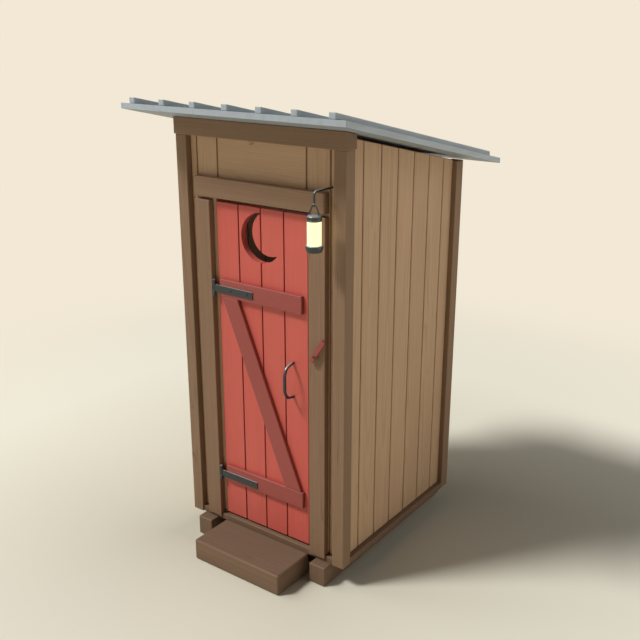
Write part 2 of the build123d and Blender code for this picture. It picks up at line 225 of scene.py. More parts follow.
travel = KEY_TRAVEL.normalized() * math.cos(math.radians(KEY_HEIGHT))
travel.z = -math.sin(math.radians(KEY_HEIGHT))
middle = Vector((0, 0, 1.2))
key = hang_lamp("key", "SUN", middle - travel * KEY_AWAY, middle, math.pi * KEY_SHARE)
key.data.angle = math.radians(KEY_DISC)
for name, (at, power, side) in FILLS.items():
    fill = hang_lamp(name, "AREA", at, middle, power)
    fill.data.shape, fill.data.size = "SQUARE", side

# %% [markdown]
# ## The bench
# Every piece starts as a primitive at its size and place, and is then cut, drawn out and eased. These
# helpers are the tools that all of them share: pick up only what is worked on, choose faces or edges by
# their place or normal in edit mode, rough out a length, saw off an end with a plane, ease the edges.

# %% Tools for picking up and choosing
X, Y, Z = Vector((1, 0, 0)), Vector((0, 1, 0)), Vector((0, 0, 1))
SLACK = 0.05 * MM
FACES_IT, SQUARE_ON = 0.9, 0.99  # cosines that count as facing a way, and as straight along it


def pick_up(*pieces):
    """Only these objects are selected, and the first is active."""
    bpy.ops.object.select_all(action="DESELECT")
    for piece in pieces:
        piece.select_set(True)
    bpy.context.view_layer.objects.active = pieces[0]


def choose(piece, kind, test=lambda part: True):
    """Goes into edit mode with only the vertices, edges or faces selected that pass the test."""
    pick_up(piece)
    bpy.ops.object.mode_set(mode="EDIT")
    bpy.ops.mesh.select_mode(type=kind)
    bpy.ops.mesh.select_all(action="DESELECT")
    shape = bmesh.from_edit_mesh(piece.data)
    parts = {"VERT": shape.verts, "EDGE": shape.edges, "FACE": shape.faces}[kind]
    for part in [part for part in parts if test(part)]:
        part.select_set(True)
    shape.select_flush_mode()
    bmesh.update_edit_mesh(piece.data)


def put_down():
    """Back to object mode."""
    bpy.ops.object.mode_set(mode="OBJECT")


def faces_to(direction, where=lambda middle: True):
    """A test for faces whose normal points that way, and whose middle is where it should be."""
    return lambda face: face.normal.dot(direction) > FACES_IT and where(face.calc_center_median())


def edges_at(height):
    """A test for edges that lie level at a height."""
    return lambda edge: all(abs(point.co.z - height) < SLACK for point in edge.verts)


def edges_along(direction, beyond=lambda end: True):
    """A test for edges that run that way, and whose first end is where it should be."""

    def runs(edge):
        """True for one such edge."""
        ends = [point.co for point in edge.verts]
        return abs((ends[1] - ends[0]).normalized().dot(direction)) > SQUARE_ON and beyond(ends[0])

    return runs


print("bench tools:", [tool.__name__ for tool in (pick_up, choose, put_down)])

# %% Tools for shaping
def start_from(primitive, name, **settings):
    """A piece begun from a primitive; its place and turn go into its mesh."""
    bpy.ops.object.select_all(action="DESELECT")
    primitive(**settings)
    piece = bpy.context.object
    piece.name = piece.data.name = name
    pick_up(piece)
    bpy.ops.object.transform_apply(location=True, rotation=True, scale=True)
    return piece


def rough_out(name, low, high, turn=(0, 0, 0)):
    """A squared length of stuff between two corners, turned about its middle."""
    low, high = Vector(low), Vector(high)
    cube = bpy.ops.mesh.primitive_cube_add
    return start_from(cube, name, size=1, location=(low + high) / 2, rotation=turn, scale=high - low)


def turned_blank(name, sides, radius, depth, at, turn=(0, 0, 0)):
    """A round blank about its middle, upright or turned."""
    cylinder = bpy.ops.mesh.primitive_cylinder_add
    return start_from(cylinder, name, vertices=sides, radius=radius, depth=depth, location=at, rotation=turn)


def draw_out(way):
    """Extrudes what is chosen."""
    bpy.ops.mesh.extrude_region_move(TRANSFORM_OT_translate={"value": way})


def press(piece, direction, rim, push):
    """Insets the flat that faces one way, and pushes what lies inside the rim up."""
    choose(piece, "FACE", faces_to(direction))
    bpy.ops.mesh.inset(thickness=rim, depth=0)
    bpy.ops.transform.translate(value=Z * push)
    put_down()


def saw(piece, point, normal, keep_both=False):
    """Cuts with a plane: what lies beyond it is taken off, unless both sides are kept."""
    choose(piece, "FACE")
    off = not keep_both
    bpy.ops.mesh.bisect(plane_co=point, plane_no=normal, use_fill=off, clear_outer=off, clear_inner=False)
    put_down()


def ease(piece, radius, rounds=3, sharper_than=30):
    """Rounds every edge sharper than an angle, and keeps the flats flat."""
    pick_up(piece)
    bpy.ops.object.shade_smooth_by_angle(angle=math.radians(sharper_than))
    plane = piece.modifiers.new("ease", "BEVEL")
    plane.width, plane.segments = radius, rounds
    plane.limit_method, plane.angle_limit = "ANGLE", math.radians(sharper_than)
    plane.harden_normals = True
    bpy.ops.object.modifier_apply(modifier=plane.name)
    return piece


def round_off(piece, test, radius, rounds=5):
    """Rounds the chosen edges, wider than easing would."""
    choose(piece, "EDGE", test)
    bpy.ops.mesh.bevel(offset=radius, segments=rounds)
    put_down()


print("shaping tools:", [tool.__name__ for tool in (rough_out, turned_blank, press, saw, ease, round_off)])

# %% [markdown]
# ## Grain that knows its board
# Wood is a solid pattern: growth rings round a pith, drawn out along the trunk. A board shows stripes on its
# long faces, arches where it is sawn at a slant to the rings, and curved rings on its ends. So the pattern is
# read in the board's own directions, not the room's. Each board stores its own number, where a point lies in it
# (across, through, along), its half sizes, and whether the point hides in a joint, where the finishes paint a
# darker colour, a painted shade with the grime that gathers there. One finish then works on posts, planks and a
# slanting brace, and no two are alike.

# %% Mark the grain
numbers = itertools.count(1)
board_marks = {}


def mark_grain(piece, along=Z, face=Y, joints=(), sunk=False):
    """Numbers a board and notes its directions: along is the trunk's way, face the way through.

    Each joint is a way and how far the board's body goes that way. A sunk piece lies wholly in a joint, so the
    finishes give it the joints' darker colour all over, a painted shade with grime.
    """
    number = next(numbers)
    ways = Matrix((face.cross(along), face, along))
    body = [p.co for p in piece.data.vertices if all(p.co.dot(way) < reach + SLACK for way, reach in joints)]
    places = [ways @ co for co in body]
    low, high = Vector(map(min, *places)), Vector(map(max, *places))
    board_marks[number] = (ways, (low + high) / 2, (high - low) / 2, tuple(joints), sunk)
    board = piece.data.attributes.new("board", "FLOAT", "POINT")
    board.data.foreach_set("value", [number] * len(piece.data.vertices))
    return piece


def write_grain(piece):
    """Stores what the wooden finishes read at each point: place, half sizes, and how deep in a joint."""
    numbers_here = [round(value.value) for value in piece.data.attributes["board"].data]
    inside, halves, hidden = [], [], []
    for number, point in zip(numbers_here, piece.data.vertices):
        ways, middle, half, joints, sunk = board_marks[number]
        inside.extend(ways @ point.co - middle)
        halves.extend(half)
        # A hidden point takes the finishes' darker joint colour: a painted shade, with grime.
        hidden.append(float(sunk or any(point.co.dot(way) > reach - SLACK for way, reach in joints)))
    for name, kind, field, values in (
        ("timber", "FLOAT_VECTOR", "vector", inside),
        ("half", "FLOAT_VECTOR", "vector", halves),
        ("joint", "FLOAT", "value", hidden),
    ):
        piece.data.attributes.new(name, kind, "POINT")
        piece.data.attributes[name].data.foreach_set(field, values)


print("grain helpers:", [tool.__name__ for tool in (mark_grain, write_grain)])

# %% Make, join and fit boards
def plane_board(name, low, high, along=Z, face=Y, radius=3 * MM, rounds=2, shape=None, **marks):
    """A finished board: roughed out, shaped if it needs it, eased and marked."""
    board = rough_out(name, low, high)
    if shape:
        shape(board)
    return mark_grain(ease(board, radius, rounds), along, face, **marks)


def nail_up(name, boards):
    """Boards that belong together become one piece."""
    pick_up(*boards)
    if len(boards) > 1:
        bpy.ops.object.join()
    piece = bpy.context.object
    piece.name = piece.data.name = name
    return piece


def fit(piece, body, slot, finish, *nodes):
    """Gives a piece its finish, hangs it on a body, and lets it stand for measured parts."""
    piece.data.materials.clear()
    piece.data.materials.append(finish)
    if "board" in piece.data.attributes:
        write_grain(piece)
    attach(piece, body)
    if nodes:
        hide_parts(*nodes)
    print(f"{piece.name}: {len(piece.data.polygons)} faces, on {body}, for {', '.join(nodes) or 'detail'}")
    return piece


def set_board(name, node, where, *ways, spare=0, **marks):
    """A board that fills a measured part's box; where is its body, slot and finish."""
    low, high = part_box(node)
    fit(plane_board(name, low, high + Z * spare, *ways, **marks), *where, node)


print("board helpers:", [tool.__name__ for tool in (plane_board, nail_up, fit, set_board)])

# %% [markdown]
# ## Stained softwood
# The walls, posts and floor are planed pine under a brown stain. Stain lets the wood show: the dense late rings
# take less and stay fine darker lines, the soft wood between soaks it up, and the fibres give a dry look with
# no gloss. Outdoors the sun opens fine checks along the grain, edges rub lighter, and end grain drinks more
# stain and goes darker. The joints are painted darker, a painted shade with the grime that gathers there; the
# feet are painted darker towards the bottom, in blotches; and on the blocks the faces that look up are painted
# darker, a painted shade. A ring is drawn at 9 mm where pine has 2 to 5, since finer rings would not show from
# here. It is all built from a few noises and one set of rings.

# %% Growth rings
RING_WIDTH = 9 * MM
# Spread and start, in metres across and through: of the rings' wander, and of a pith's place and lean.
WANDER_SPREAD, WANDER_FROM = (0.05, 0.05, 0), (-0.025, -0.025, 0)
PITH_SPREAD, PITH_FROM = (0.18, 0.09, 0.045), (-0.09, 0.035, -0.0225)
SEASON = ((0.55, 0.25), (0.85, 1.0))  # share of the year, and how dense the wood is then


def late_rings(add, timber, chance, wobble):
    """1 on the dense late wood: rings round a pith beside the board, which leans a little and wanders."""
    wander = add("VectorMath MULTIPLY_ADD", {1: WANDER_SPREAD, 2: WANDER_FROM}, {0: wobble})
    pith = add("VectorMath MULTIPLY_ADD", {1: PITH_SPREAD, 2: PITH_FROM}, {0: chance})
    lean, length = [add("SeparateXYZ", links={0: source}).outputs["Z"] for source in (pith, timber)]
    rise = add("Math MULTIPLY", links={0: lean, 1: length})
    spot = timber
    for other in (pith, add("CombineXYZ", links={"Y": rise}), wander):
        spot = add("VectorMath ADD", links={0: spot, 1: other})
    flat = add("VectorMath MULTIPLY", {1: (1, 1, 0)}, {0: spot})
    radius = add("VectorMath LENGTH", links={0: flat}).outputs["Value"]
    turns = add("Math DIVIDE", {1: RING_WIDTH}, {0: radius})
    season = add("FloatCurve", links={"Value": add("Math FRACT", links={0: turns})})
    curve = season.mapping.curves[0]
    for place, height in SEASON:
        curve.points.new(place, height)
    curve.points[0].location, curve.points[-1].location = (0, 0), (1, 0)
    season.mapping.update()
    return season.outputs[0]


print("rings", RING_WIDTH / MM, "mm wide")

# %% Checks and rubbed edges
RUB_REACH = 7 * MM
END_REACH = 1.5 * MM


def fine_checks(add, noise, patches):
    """1 on thin lines where a stretched noise crosses its middle, only in some patches."""
    off = add("Math SUBTRACT", {1: 0.5}, {0: noise})
    off = add("Math ABSOLUTE", links={0: off})
    line = add("MapRange", {"From Min": 0.012, "From Max": 0.003}, {"Value": off})
    patch = add("MapRange", {"From Min": 0.52, "From Max": 0.62}, {"Value": patches})
    return add("Math MULTIPLY", links={0: line, 1: patch}).outputs[0]


def rubbed_edges(add, timber, half):
    """1 on a board's edges and 0 on its flats, by how near its faces are, and 1 on its sawn ends."""
    from_middle = add("VectorMath ABSOLUTE", links={0: timber})
    inward = add("VectorMath SUBTRACT", links={0: half, 1: from_middle})
    inward = add("VectorMath ABSOLUTE", links={0: inward})
    near = add("VectorMath MULTIPLY_ADD", {1: (-1 / RUB_REACH,) * 3, 2: (1, 1, 1)}, {0: inward})
    near = add("VectorMath MAXIMUM", {1: (0, 0, 0)}, {0: near})
    total = add("VectorMath DOT_PRODUCT", {1: (1, 1, 1)}, {0: near}).outputs["Value"]
    rub = add("Math SUBTRACT", {1: 1, "use_clamp": True}, {0: total})
    to_end = add("SeparateXYZ", links={0: inward}).outputs["Z"]
    end = add("MapRange", {"From Min": END_REACH, "From Max": 0}, {"Value": to_end})
    return rub.outputs[0], end.outputs[0]


print("edges rubbed over", RUB_REACH / MM, "mm")

# %% What every wooden finish reads
# Each noise is stretched along the trunk: its cells per metre across, through and along the board.
WOOD_NOISES = {
    "wobble": ((5, 5, 0.8), 2, 0.5),
    "streaks": ((75, 75, 1.6), 3, 0.5),
    "fibres": ((420, 420, 9), 2, 0.6),
    "blotches": ((4, 4, 1.1), 3, 0.5),
    "chips": ((60, 60, 18), 3, 0.6),
    "checks": ((55, 55, 1.1), 0, 0.5),
}


def stretched_noise(add, place, stretch, detail, rough=0.5):
    """A noise with its own number of cells per metre each way."""
    placed = add("Mapping", {"Scale": stretch}, {"Vector": place})
    return add("TexNoise", {"Scale": 1, "Detail": detail, "Roughness": rough}, {"Vector": placed}).outputs


def board_pattern(add):
    """The sources that a wooden finish mixes, by name."""
    timber, half, number, joint = [
        add("Attribute", {"attribute_name": name}).outputs[kind]
        for name, kind in (("timber", "Vector"), ("half", "Vector"), ("board", "Fac"), ("joint", "Fac"))
    ]
    chance = add("TexWhiteNoise", {"noise_dimensions": "1D"}, {"W": number}).outputs
    own = add("VectorMath MULTIPLY_ADD", {1: (3.7, 2.3, 5.9)}, {0: number, 2: timber})
    wood = {"joint": joint, "chance": chance["Value"]}
    for name, cells in WOOD_NOISES.items():
        wood[name] = stretched_noise(add, own, *cells)["Color" if name == "wobble" else "Fac"]
    wood["late"] = late_rings(add, timber, chance["Color"], wood["wobble"])
    wood["checks"] = fine_checks(add, wood["checks"], wood["blotches"])
    wood["rub"], wood["end"] = rubbed_edges(add, timber, half)
    return wood


def shade_by(add, colour, fields, shares):
    """Shades a colour by each field, from its low share to its high one."""
    for field, low, high in shares:
        share = add("MapRange", {"To Min": low, "To Max": high}, {"Value": fields[field]})
        colour = add("VectorMath SCALE", links={0: colour, "Scale": share})
    return colour


def lay_over(add, colour, layers):
    """Lays other colours over one, each by its amount."""
    for amount, over in layers:
        colour = add("Mix", {"data_type": "RGBA", 7: chip(over)}, {0: amount, 6: colour}).outputs[2]
    return colour


def dress_surface(add, shader, colour, dull, relief, **others):
    """Joins up a finish: dull is a field and its two roughnesses, relief a field, a strength and a depth."""
    rough = add("MapRange", {"To Min": dull[1], "To Max": dull[2]}, {"Value": dull[0]})
    bump = add("Bump", {"Strength": relief[1], "Distance": relief[2]}, {"Height": relief[0]})
    join_up(shader, {"Base Color": colour, "Roughness": rough, "Normal": bump, **others})


print("wood noises:", list(WOOD_NOISES))

# %% The stained wood finish
def stained_pine(name, soft, late, rubbed, dark_tone, dark_foot_top=0.3, top_shade_share=1):
    """Planed pine under stain: the colour between rings, on them, on rubbed edges, and the dark tone of the
    joints and the feet.

    top_shade_share is what is left of the colour on faces that look up: a painted shade.
    """
    finish, shader, add = new_finish(name)
    wood = board_pattern(add)
    ring = add("Math MULTIPLY", {1: 0.34}, {0: wood["late"]})
    streak = add("MapRange", {"To Min": -0.12, "To Max": 0.4}, {"Value": wood["streaks"]})
    depth = add("Math ADD", {"use_clamp": True}, {0: ring, 1: streak})
    colour = add("Mix", {"data_type": "RGBA", 6: chip(soft), 7: chip(late)}, {0: depth}).outputs[2]
    sides = add("TexCoord").outputs
    height = add("SeparateXYZ", links={0: sides["Object"]}).outputs["Z"]
    upward = add("SeparateXYZ", links={0: sides["Normal"]}).outputs["Z"]
    # Faces that look up get a painted shade: their colour is scaled by the share given for them.
    wood["painted_top_shade"] = add("MapRange", {"From Min": 0.5, "From Max": 0.9}, {"Value": upward})
    shares = [("fibres", 0.92, 1.08), ("chance", 0.965, 1.035), ("blotches", 0.92, 1.08)]
    shares += [("end", 1, 0.9), ("checks", 1, 0.62), ("painted_top_shade", 1, top_shade_share)]
    colour = shade_by(add, colour, wood, shares)
    worn = add("Math MULTIPLY", links={0: wood["rub"], 1: wood["chips"]})
    # The feet are painted darker towards the bottom, in blotches.
    foot_darkening = {"interpolation_type": "SMOOTHSTEP", "From Min": dark_foot_top, "From Max": 0, "To Max": 0.35}
    low = add("MapRange", foot_darkening, {"Value": height})
    darker_foot = add("Math MULTIPLY", links={0: low, 1: wood["blotches"]})
    # Points in a joint are painted darker: a painted shade, with the grime that gathers there.
    joint_shade_and_dirt = add("Math MULTIPLY", {1: 0.75}, {0: wood["joint"]})
    colour = lay_over(add, colour, ((worn, rubbed), (darker_foot, dark_tone), (joint_shade_and_dirt, dark_tone)))
    relief = add("Math ADD", links={0: wood["fibres"], 1: ring})
    relief = add("Math SUBTRACT", links={0: relief, 1: wood["checks"]})
    dress_surface(add, shader, colour, (wood["streaks"], 0.62, 0.86), (relief, 0.35, 0.5 * MM))
    return finish


# The last colour of each stain is the dark tone laid in the joints, a painted shade with grime, and at the
# feet; the blocks keep 0.7 of their colour on faces that look up, a painted shade.
wall_stain = stained_pine("pine_boards_light_brown_stain", "#CBA784", "#AF8A67", "#D4B38F", "#744A22")
frame_stain = stained_pine("pine_framing_walnut_stain", "#8B6E53", "#735841", "#997C5F", "#4E3A2A")
trim_stain = stained_pine("pine_trim_walnut_stain", "#8B6C52", "#745840", "#98795D", "#4E3A2A")
floor_stain = stained_pine("pine_planks_dark_stain", "#745942", "#5D4533", "#80654C", "#40301F", 0.1)
block_stain = stained_pine("pine_blocks_dark_stain", "#7D624A", "#644C3A", "#8A6F55", "#453524", 0.1, 0.7)
print("stains:", [m.name for m in (wall_stain, frame_stain, trim_stain, floor_stain, block_stain)])

# %% [markdown]
# ## Red barn paint
# The door is painted with two coats of oil paint. The boards are a faded brick red, and the ledges, the brace
# and the turn-button a deeper one. Paint hides the colour of the wood but not its shape: the rings and brush
# marks still show as soft ridges, old paint chalks a little paler in patches, and along the edges it has
# chipped down to the dark wood here and there. In the joints the colour is painted darker: a painted shade,
# with the grime that gathers there. The roof's boards have a grey paint below.

# %% The paint finish
def barn_paint(name, coat, chalked, bare, dark_tone, chip_share):
    """Brushed oil paint on planed boards; chip_share is how much of the edges has lost its paint."""
    finish, shader, add = new_finish(name)
    wood = board_pattern(add)
    chalk = add("MapRange", {"To Min": -0.35, "To Max": 1.1}, {"Value": wood["blotches"]})
    colour = add("Mix", {"data_type": "RGBA", 6: chip(coat), 7: chip(chalked)}, {0: chalk}).outputs[2]
    colour = shade_by(add, colour, wood, (("streaks", 0.93, 1.07), ("chance", 0.98, 1.02), ("late", 1, 0.96)))
    edge = add("Math MULTIPLY", links={0: wood["rub"], 1: wood["chips"]})
    lost = add("MapRange", {"From Min": 0.62 - chip_share, "From Max": 0.7 - chip_share}, {"Value": edge})
    # Points in a joint are painted a darker colour: a painted shade, with the grime that gathers there.
    joint_shade_and_dirt = add("Math MULTIPLY", {1: 0.75}, {0: wood["joint"]})
    colour = lay_over(add, colour, ((lost, bare), (joint_shade_and_dirt, dark_tone)))
    relief = add("Math ADD", links={0: wood["fibres"], 1: wood["late"]})
    relief = add("Math SUBTRACT", links={0: relief, 1: lost})
    dress_surface(add, shader, colour, (wood["blotches"], 0.45, 0.65), (relief, 0.3, 0.4 * MM))
    return finish


# The colour before the chip share is the darker tone laid in the joints: a painted shade, with grime.
door_paint = barn_paint("faded_red_oil_paint", "#C75448", "#CE6355", "#5E3A2C", "#8A1A08", 0.12)
ledge_paint = barn_paint("deep_red_oil_paint", "#95423A", "#9D4D43", "#4A2E25", "#55201B", 0.1)
grey_paint = barn_paint("grey_oil_paint_on_roof_boards", "#959EA3", "#9FA5A9", "#6B5F52", "#6A7073", 0.02)
print("paints:", [m.name for m in (door_paint, ledge_paint, grey_paint)])

# %% [markdown]
# ## Coated steel, black iron and lit opal glass
# The roof sheet is steel under a grey baked coat, so it shines like paint and not like bare metal. Rain leaves
# faint streaks down the slope. The ironwork is forged and blackened: metal under a thin dark skin, with shallow
# hammer marks about 12 mm wide and a soft shine where hands have rubbed it. What faces up is painted pale and
# less metallic: pale dust, and with it a painted highlight that draws a light line along the top of every
# strap. The lantern's glass is opal and lit from inside, so it gives light all over, and its surface is smooth
# and hard.

# %% The roof finish
def coated_steel(name, grey, pale, overlay_colour):
    """A grey baked coat on sheet steel, with rain streaks down the slope."""
    finish, shader, add = new_finish(name)
    where = add("TexCoord").outputs["Object"]
    noises = {"rain": ((28, 1.2, 28), 3), "clouds": ((2.2,) * 3, 3), "grit": ((320,) * 3, 2)}
    fields = {name: stretched_noise(add, where, *cells)["Fac"] for name, cells in noises.items()}
    cloud = add("MapRange", {"To Min": -0.3, "To Max": 1.2}, {"Value": fields["clouds"]})
    colour = add("Mix", {"data_type": "RGBA", 6: chip(grey), 7: chip(pale)}, {0: cloud}).outputs[2]
    streak = add("MapRange", {"To Min": -0.5, "To Max": 0.75}, {"Value": fields["rain"]})
    colour = shade_by(add, lay_over(add, colour, [(streak, overlay_colour)]), fields, [("grit", 0.95, 1.05)])
    dress_surface(add, shader, colour, (fields["rain"], 0.38, 0.62), (fields["grit"], 0.15, 0.5 * MM))
    return finish


roof_coat = coated_steel("grey_coated_sheet_steel", "#A9B3BA", "#B4BDC4", "#959DA1")
print("roof finish:", roof_coat.name)

# %% The iron and glass finishes
def forged_iron(name, skin, rubbed, overlay_colour):
    """Blackened wrought iron with hammer marks; what faces up is painted pale, as dust and as a painted
    highlight.
    """
    finish, shader, add = new_finish(name)
    sides = add("TexCoord").outputs
    hammered = {"feature": "SMOOTH_F1", "Scale": 85, "Smoothness": 0.8}
    marks = add("TexVoronoi", hammered, {"Vector": sides["Object"]}).outputs["Distance"]
    scale = add("TexNoise", {"Scale": 240, "Detail": 3}, {"Vector": sides["Object"]}).outputs["Fac"]
    shine = add("MapRange", {"To Min": -0.2, "To Max": 0.8}, {"Value": scale})
    colour = add("Mix", {"data_type": "RGBA", 6: chip(skin), 7: chip(rubbed)}, {0: shine}).outputs[2]
    upward = add("SeparateXYZ", links={0: sides["Normal"]}).outputs["Z"]
    # What faces up is painted pale and less metallic: dust, and a painted highlight along the tops.
    painted_top_highlight = add("MapRange", {"From Min": 0.4, "From Max": 0.8, "To Max": 0.75}, {"Value": upward})
    metal = add("MapRange", {"To Min": 0.7, "To Max": 0}, {"Value": painted_top_highlight})
    colour = lay_over(add, colour, [(painted_top_highlight, overlay_colour)])
    dress_surface(add, shader, colour, (scale, 0.22, 0.46), (marks, 0.4, 0.6 * MM), Metallic=metal)
    return finish


def opal_glass(name, body, light, deep_light):
    """Milky glass lit from inside, a little clouded."""
    finish, shader, add = new_finish(
        name, base_color=chip(body), roughness=0.12, emission_strength=1.0, coat_weight=0.4
    )
    cloud = stretched_noise(add, add("TexCoord").outputs["Object"], (60, 60, 14), 2)["Fac"]
    glow = add("Mix", {"data_type": "RGBA", 6: chip(light), 7: chip(deep_light)}, {0: cloud}).outputs[2]
    join_up(shader, {"Emission Color": glow})
    return finish


# The last colour is the pale one on what faces up: dust, and a painted highlight.
black_iron = forged_iron("blackened_forged_iron", "#3C4042", "#54595B", "#B4BAB6")
lantern_glass = opal_glass("lit_opal_glass", "#9A9464", "#FFFDD0", "#FFFAC0")
print("finishes:", [m.name for m in (black_iron, lantern_glass)])

# %% [markdown]
# ## Skids, platform and step
# The building stands on two squared runners. A floor of planks lies across them inside a rim of four
# boards, whose inner joints hide under the walls. The step is one heavy block. Squared timber like this
# is a box with eased edges: three rounds on each edge catch a thin line of light, as worn arrises do.

# %% Lay the skids, the floor and the step
for side in ("left", "right"):
    where = ("house", "weathered_framing", block_stain)
    set_board(f"skid_timber_{side}", f"skid_{side}", where, Y, Z, radius=6 * MM, rounds=3)

PLANKS = 8
PLANK_GAP = 3 * MM
RIM = 40 * MM
floor_low, floor_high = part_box("floor_platform")
post_low, post_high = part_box("post_front_right")
back_post_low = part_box("post_back_right")[0]
rim_inside = floor_high.x - RIM
floor_boards = []
for low, high, along in (  # in plan: the front and back rims between the posts, then the side ones
    ((-post_low.x, floor_low.y), (post_low.x, post_high.y), X),
    ((-post_low.x, back_post_low.y), (post_low.x, floor_high.y), X),
    ((-floor_high.x, post_high.y), (-rim_inside, back_post_low.y), Y),
    ((rim_inside, post_high.y), (floor_high.x, back_post_low.y), Y),
):
    floor_boards.append(plane_board("rim", (*low, floor_low.z), (*high, floor_high.z), along, Z, rounds=3))
plank_width = (back_post_low.y - post_high.y) / PLANKS
for index in range(PLANKS):
    start = post_high.y + index * plank_width + PLANK_GAP / 2
    end = start + plank_width - PLANK_GAP
    low, high = (-rim_inside, start, floor_low.z), (rim_inside, end, floor_high.z)
    floor_boards.append(plane_board("plank", low, high, X, Z, joints=((Y, end), (-Y, -start))))
fit(nail_up("platform_boards", floor_boards), "house", "platform_planks", floor_stain, "floor_platform")

set_board("step_block", "step", ("house", "step_timber", block_stain), X, Z, radius=11 * MM, rounds=5)

# %% [markdown]
# ## Posts, beam and rafters
# Four posts carry the roof, with a deep beam across the front ones whose top is cut to the roof's slope.
# Inside, three rafters and two ledgers hold the roof up; they show when the door is open. The slope comes
# from the measured roof panel: its box gives the fall between the front and the back edge. What slopes
# is made level first and then let down to the pitch by one matrix, which keeps its ends plumb.

# %% Raise the frame
ROOF_THICK = 28 * MM
SPARE = 50 * MM  # rough length that is sawn off
FRAMING = ("house", "weathered_framing", frame_stain)
roof_low, roof_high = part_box("roof_panel")
slope = (roof_high.z - ROOF_THICK - roof_low.z) / (roof_high.y - roof_low.y)
ROOF_NORMAL = Vector((0, slope, 1)).normalized()
DOWN_SLOPE = Vector((0, 1, -slope)).normalized()


def underside(y):
    """Height of the roof's underside."""
    return roof_low.z + slope * (roof_high.y - y)


def let_down(piece, y_level):
    """Lets a level piece down to the roof's pitch; it keeps its height at y_level."""
    pitch = Matrix.Identity(4)
    pitch[2][1], pitch[2][3] = -slope, slope * y_level
    piece.data.transform(pitch)


def cut_under_roof(drop):
    """A shaping step that saws the top off parallel to the roof, a little below it."""
    return lambda piece: saw(piece, (0, 0, underside(0) - drop), ROOF_NORMAL)


def shape_beam(piece):
    """Saws the beam's top to the pitch and rounds its upright corners."""
    cut_under_roof(0)(piece)
    round_off(piece, edges_along(Z), radius=10 * MM)


for corner in ("front_left", "front_right", "back_left", "back_right"):
    set_board(f"timber_{corner}", f"post_{corner}", FRAMING, radius=5 * MM, rounds=3)
set_board("beam_timber", "top_beam", FRAMING, X, spare=SPARE, radius=5 * MM, rounds=3, shape=shape_beam)

RAFTER_DEEP = 75 * MM
for name in ("left", "middle", "right"):
    low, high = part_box(f"rafter_{name}")
    top = underside(low.y)
    rafter = rough_out(f"rafter_timber_{name}", (low.x, low.y, top - RAFTER_DEEP), (high.x, high.y, top))
    let_down(rafter, low.y)
    mark_grain(ease(rafter, radius=3 * MM), DOWN_SLOPE, X)
    fit(rafter, *FRAMING, f"rafter_{name}")
under_rafters = cut_under_roof(RAFTER_DEEP)
for name in ("front", "back"):
    set_board(f"ledger_{name}", f"{name}_ledger", FRAMING, X, spare=SPARE, shape=under_rafters)

# %% [markdown]
# ## Matchboard walls
# The walls are upright matchboards: each board has a tongue on one edge that slips into the next one, so the
# joint is a shadow line and never a slit of daylight. The board is a box with eased edges; the face of one long
# edge is inset and extruded to make the tongue. The boards stand on a sole strip that is set back, a millimetre
# clear of the floor, so that rain drips off their ends. Modelling the joints, and not just drawing lines, gives
# the true shadow from every side. On top of that the finish paints the joints darker, a painted shade with the
# grime that gathers there, and the tongues and the sole, which lie in the joints, take that darker colour.

# %% Helpers for matchboard walls
GAP = 7.5 * MM  # between the faces of two boards
EASE = 6.5 * MM
LAP = 1 * MM  # how far a tongue runs past its joint
TONGUE_SET_BACK = 1 * MM  # from the eased edges
BROAD = 0.015  # square metres, more than any eased strip has
END_CLEAR = 1 * MM  # below the boards' ends
SOLE_SET_BACK = 7 * MM
SOLE_HIGH = 14 * MM
VENT = 19 * MM  # between the boards' tops and the roof
floor_top = floor_high.z
WALL_BOARDS = ("house", "wall_boards", wall_stain)


def matchboard(name, low, high, across, face, joints=(-1, 1), shape=None):
    """One upright wall board. Its joints are on the low side, on the high side with a tongue, or both."""
    board = rough_out(name, low, high)
    if shape:
        shape(board)
    ease(board, EASE, rounds=3)
    if 1 in joints:
        choose(board, "FACE", lambda face: face.normal.dot(across) > SQUARE_ON and face.calc_area() > BROAD)
        bpy.ops.mesh.inset(thickness=TONGUE_SET_BACK, depth=0)
        draw_out(across * (GAP + LAP))
        put_down()
    edges = {-1: Vector(low).dot(across), 1: Vector(high).dot(across)}
    return mark_grain(board, Z, face, joints=[(across * side, edges[side] * side) for side in joints])


def board_up(low, high, across, face, edges, name, shape=None):
    """A wall of matchboards between edges, with a sole under them; low and high are the wall's corners."""
    boards = []
    for index, (start, end) in enumerate(zip(edges, edges[1:])):
        joints = [side for side, is_joint in ((-1, index > 0), (1, index < len(edges) - 2)) if is_joint]
        from_here = Vector(low) + across * (start + (GAP / 2 if -1 in joints else 0) - Vector(low).dot(across))
        to_here = Vector(high) + across * (end - (GAP / 2 if 1 in joints else 0) - Vector(high).dot(across))
        from_here.z = floor_top + END_CLEAR
        boards.append(matchboard(f"{name}_{index}", from_here, to_here, across, face, joints, shape))
    sole_low, sole_high = Vector(low) + face * SOLE_SET_BACK, Vector(high) - face * SOLE_SET_BACK
    sole_low.z, sole_high.z = floor_top, floor_top + SOLE_HIGH
    boards.append(plane_board("sole", sole_low, sole_high, across, face, sunk=True))
    return nail_up(name, boards)


print("boards", GAP / MM, "mm apart, with a tongue between")

# %% Board the side and back walls
SIDE_JOINTS = [-388.5, -231.5, -74.5, 82.5, 239.5, 396.5]  # mm from the wall's middle
wall_middle_y = (post_high.y + back_post_low.y) / 2
side_edges = [post_high.y, *[wall_middle_y + joint * MM for joint in SIDE_JOINTS], back_post_low.y]
for name in ("left", "right"):
    low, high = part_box(f"side_wall_{name}")
    wall = board_up(low, high + Z * SPARE, Y, X, side_edges, f"side_boards_{name}", cut_under_roof(VENT))
    fit(wall, *WALL_BOARDS, f"side_wall_{name}")

